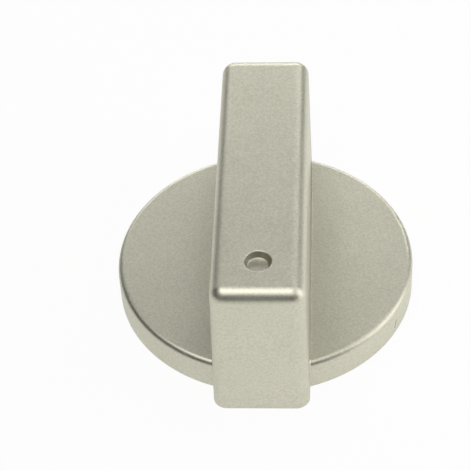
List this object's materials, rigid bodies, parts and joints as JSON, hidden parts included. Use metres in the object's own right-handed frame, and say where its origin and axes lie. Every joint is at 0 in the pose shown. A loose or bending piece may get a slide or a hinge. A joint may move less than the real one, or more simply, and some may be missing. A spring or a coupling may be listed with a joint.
{
  "type": "oven control knob",
  "caption": "Oven control knob: a round skirt with a tall straight grip bar across it, a pointer dot on top, and a hollow underside with a D-shaped shaft socket.",
  "frame": {"origin": "on the shaft's axis, in the plane of the skirt's lower edge", "axes": "+Z along the shaft's axis, away from the appliance's panel; +Y along the grip bar, away from its pointer end"},
  "size_m": [0.057, 0.0644, 0.03],
  "materials": {
    "satin_finish": "satin metallic coat in a warm silver over a plastic moulding",
    "spring_steel": "bright rolled spring strip"
  },
  "bodies": {
    "root": {"knob_body": "satin_finish", "shaft_spring": "spring_steel"}
  },
  "joints": []
}
